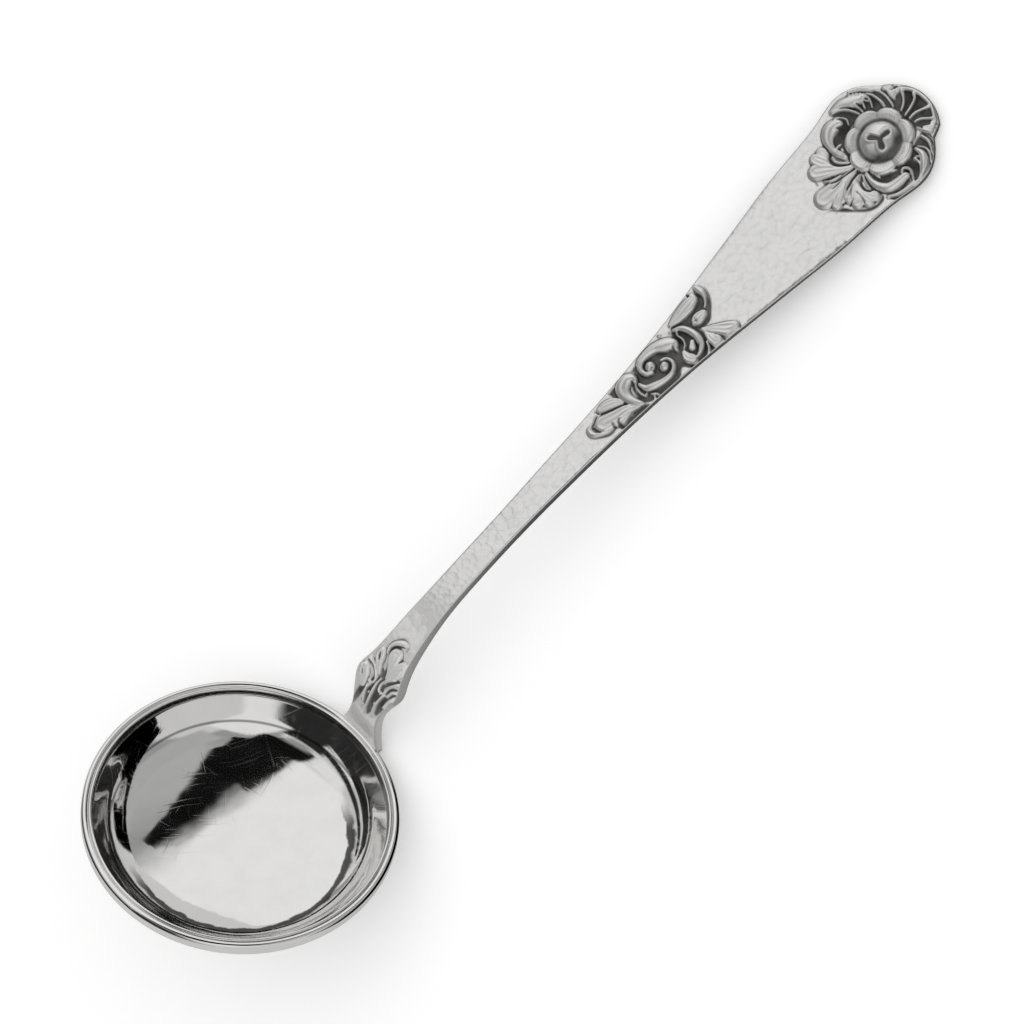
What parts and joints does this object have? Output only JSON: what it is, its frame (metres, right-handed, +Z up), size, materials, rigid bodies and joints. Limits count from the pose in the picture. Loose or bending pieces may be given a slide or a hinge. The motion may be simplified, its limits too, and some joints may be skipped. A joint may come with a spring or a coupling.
{
  "type": "cream ladle",
  "caption": "Small silver cream ladle: a shallow polished bowl with a wire rim, and a flat hammered handle rising from it to a rose and leaf end in relief.",
  "frame": {"origin": "middle of the ladle's bounding box in plan, on the table that it rests on", "axes": "+X from the bowl to the handle's end, +Z up, as the ladle lies at rest on the bowl's side and the handle's end"},
  "size_m": [0.1436, 0.041, 0.0263],
  "materials": {
    "scratched_silver": "bright polished silver with fine scratches from use",
    "polished_silver": "bright worn silver wire",
    "hammered_silver": "satin silver with a close hammered texture, and darkened recesses in the relief"
  },
  "bodies": {
    "root": {"bowl": "scratched_silver", "rim_wire": "polished_silver", "handle": "hammered_silver"}
  },
  "joints": []
}
